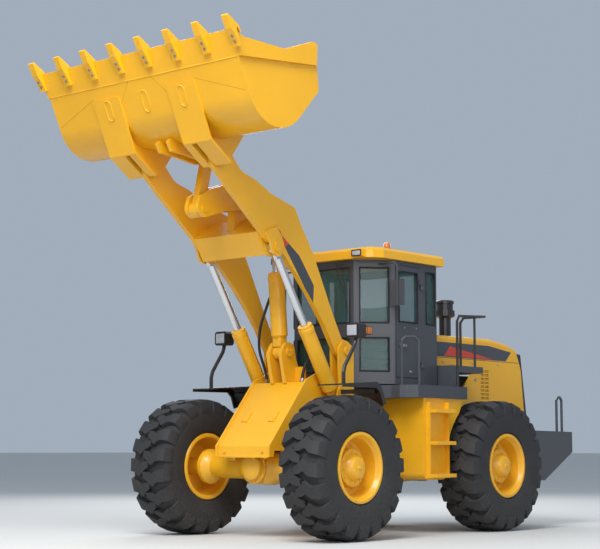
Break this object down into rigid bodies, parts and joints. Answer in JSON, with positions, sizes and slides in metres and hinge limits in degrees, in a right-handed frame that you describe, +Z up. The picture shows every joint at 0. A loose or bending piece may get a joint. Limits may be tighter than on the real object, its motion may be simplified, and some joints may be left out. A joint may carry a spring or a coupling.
{
  "type": "wheel loader",
  "caption": "Articulated wheel loader with a Z-bar linkage: boom raised, toothed bucket rolled back, enclosed cab on the rear frame, engine hood and counterweight behind.",
  "frame": {"origin": "middle of the bounding box's bottom face, on the ground between the tyres", "axes": "+X forwards (towards the bucket), +Y to the driver's left, +Z up"},
  "size_m": [7.3298, 3.116, 5.3682],
  "materials": {
    "black_paint": "satin",
    "cast_iron": "painted",
    "glass": "tinted",
    "grey_paint": "satin",
    "rod_chrome": "polished",
    "seat_fabric": "woven",
    "tyre": "matt",
    "yellow_paint": "satin"
  },
  "bodies": {
    "rear_body": {"rear_frame": "yellow_paint", "rear_hinge": "yellow_paint", "rear_axle": "yellow_paint", "engine_block": "cast_iron", "counterweight": "cast_iron", "hood": "yellow_paint", "rear_grille": "black_paint", "platform": "grey_paint", "cab_shell": "grey_paint", "windscreen": "glass", "cab_glass": "glass", "cab_roof": "yellow_paint", "seat": "seat_fabric", "steering_column": "black_paint", "precleaner": "black_paint", "tank_left": "yellow_paint", "tank_right": "yellow_paint", "steps_left": "yellow_paint", "steps_right": "yellow_paint", "handrail_left": "black_paint", "handrail_right": "black_paint"},
    "front_body": {"front_frame": "yellow_paint", "front_hinge": "yellow_paint", "tower_left": "yellow_paint", "tower_right": "yellow_paint", "front_axle": "yellow_paint", "fender_left": "black_paint", "fender_right": "black_paint"},
    "boom": {"boom_arm_left": "yellow_paint", "boom_arm_right": "yellow_paint", "cross_beam": "yellow_paint"},
    "bellcrank": {"bellcrank": "yellow_paint"},
    "bucket_link": {"bucket_link": "yellow_paint"},
    "bucket": {"bucket_shell": "yellow_paint", "bucket_edge": "yellow_paint", "bucket_hangers": "yellow_paint"},
    "tilt_barrel": {"tilt_barrel": "yellow_paint"},
    "tilt_rod": {"tilt_rod": "rod_chrome"},
    "door_left": {"door_left": "grey_paint", "door_glass": "glass"},
    "lift_barrel_left": {"lift_barrel_left": "yellow_paint"},
    "lift_rod_left": {"lift_rod_left": "rod_chrome"},
    "lift_barrel_right": {"lift_barrel_right": "yellow_paint"},
    "lift_rod_right": {"lift_rod_right": "rod_chrome"},
    "steer_barrel_left": {"steer_barrel_left": "yellow_paint"},
    "steer_rod_left": {"steer_rod_left": "rod_chrome"},
    "steer_barrel_right": {"steer_barrel_right": "yellow_paint"},
    "steer_rod_right": {"steer_rod_right": "rod_chrome"},
    "wheel_front_left": {"rim_front_left": "yellow_paint", "tyre_front_left": "tyre"},
    "wheel_front_right": {"rim_front_right": "yellow_paint", "tyre_front_right": "tyre"},
    "wheel_rear_left": {"rim_rear_left": "yellow_paint", "tyre_rear_left": "tyre"},
    "wheel_rear_right": {"rim_rear_right": "yellow_paint", "tyre_rear_right": "tyre"}
  },
  "joints": [
    {"name": "steering", "type": "hinge", "parent": "rear_body", "child": "front_body", "pos_m": [-0.09, 0, 0.9], "axis": [0, 0, 1], "range_deg": [-35, 35]},
    {"name": "boom_lift", "type": "hinge", "parent": "front_body", "child": "boom", "pos_m": [0.592, 0, 2.15], "axis": [0, 1, 0], "range_deg": [0, 80]},
    {"name": "bucket_tilt", "type": "hinge", "parent": "boom", "child": "bucket", "pos_m": [2.749, 0, 4.158], "axis": [0, 1, 0], "range_deg": [0, 100]},
    {"name": "bellcrank_turn", "type": "hinge", "parent": "boom", "child": "bellcrank", "pos_m": [1.81, 0, 3.86], "axis": [0, 1, 0], "range_deg": [-36.91, 0.5]},
    {"name": "link_turn", "type": "hinge", "parent": "bellcrank", "child": "bucket_link", "pos_m": [2.486, 0, 3.66], "axis": [0, 1, 0], "range_deg": [-0.5, 98.1]},
    {"name": "tilt_barrel_turn", "type": "hinge", "parent": "front_body", "child": "tilt_barrel", "pos_m": [1.09, 0, 2.13], "axis": [0, 1, 0], "range_deg": [-0.5, 100.28]},
    {"name": "tilt_rod_slide", "type": "slide", "parent": "tilt_barrel", "child": "tilt_rod", "axis": [0.0835, 0, 0.9965], "range_m": [-0.39899, 0.002]},
    {"name": "lift_barrel_left_turn", "type": "hinge", "parent": "front_body", "child": "lift_barrel_left", "pos_m": [0.7, 0.5225, 1.52], "axis": [0, 1, 0], "range_deg": [-0.5, 75.26]},
    {"name": "lift_rod_left_slide", "type": "slide", "parent": "lift_barrel_left", "child": "lift_rod_left", "axis": [0.5339, 0, 0.8455], "range_m": [-0.81049, 0.002]},
    {"name": "lift_barrel_right_turn", "type": "hinge", "parent": "front_body", "child": "lift_barrel_right", "pos_m": [0.7, -0.5225, 1.52], "axis": [0, 1, 0], "range_deg": [-0.5, 75.26]},
    {"name": "lift_rod_right_slide", "type": "slide", "parent": "lift_barrel_right", "child": "lift_rod_right", "axis": [0.5339, 0, 0.8455], "range_m": [-0.81049, 0.002]},
    {"name": "steer_barrel_left_turn", "type": "hinge", "parent": "rear_body", "child": "steer_barrel_left", "pos_m": [-0.59, 0.36, 0.94], "axis": [0, 0, 1], "range_deg": [-12.53, 12.53]},
    {"name": "steer_rod_left_slide", "type": "slide", "parent": "steer_barrel_left", "child": "steer_rod_left", "axis": [0.9993, -0.0375, 0], "range_m": [-0.20622, 0.20622]},
    {"name": "steer_barrel_right_turn", "type": "hinge", "parent": "rear_body", "child": "steer_barrel_right", "pos_m": [-0.59, -0.36, 0.94], "axis": [0, 0, 1], "range_deg": [-12.53, 12.53]},
    {"name": "steer_rod_right_slide", "type": "slide", "parent": "steer_barrel_right", "child": "steer_rod_right", "axis": [0.9993, 0.0375, 0], "range_m": [-0.20622, 0.20622]},
    {"name": "wheel_front_left_roll", "type": "hinge", "parent": "front_body", "child": "wheel_front_left", "pos_m": [1.36, 1.16, 0.8], "axis": [0, 1, 0], "continuous": true},
    {"name": "wheel_front_right_roll", "type": "hinge", "parent": "front_body", "child": "wheel_front_right", "pos_m": [1.36, -1.16, 0.8], "axis": [0, 1, 0], "continuous": true},
    {"name": "wheel_rear_left_roll", "type": "hinge", "parent": "rear_body", "child": "wheel_rear_left", "pos_m": [-1.54, 1.16, 0.8], "axis": [0, 1, 0], "continuous": true},
    {"name": "wheel_rear_right_roll", "type": "hinge", "parent": "rear_body", "child": "wheel_rear_right", "pos_m": [-1.54, -1.16, 0.8], "axis": [0, 1, 0], "continuous": true},
    {"name": "door_left_swing", "type": "hinge", "parent": "rear_body", "child": "door_left", "pos_m": [-0.594, 0.818, 2.5], "axis": [0, 0, 1], "range_deg": [0, 90]}
  ],
  "couplings": [
    {"joint": "bellcrank_turn", "follows": "bucket_tilt", "ratio": -0.3641},
    {"joint": "link_turn", "follows": "bucket_tilt", "ratio": 0.97596},
    {"joint": "tilt_barrel_turn", "follows": "boom_lift", "ratio": 1.2473},
    {"joint": "tilt_rod_slide", "follows": "boom_lift", "m_per_rad": -0.28432},
    {"joint": "lift_barrel_left_turn", "follows": "boom_lift", "ratio": 0.93446},
    {"joint": "lift_rod_left_slide", "follows": "boom_lift", "m_per_rad": -0.57904},
    {"joint": "lift_barrel_right_turn", "follows": "boom_lift", "ratio": 0.93446},
    {"joint": "lift_rod_right_slide", "follows": "boom_lift", "m_per_rad": -0.57904},
    {"joint": "steer_barrel_left_turn", "follows": "steering", "ratio": 0.34374},
    {"joint": "steer_rod_left_slide", "follows": "steering", "m_per_rad": -0.33431},
    {"joint": "steer_barrel_right_turn", "follows": "steering", "ratio": 0.34374},
    {"joint": "steer_rod_right_slide", "follows": "steering", "m_per_rad": 0.33431}
  ]
}
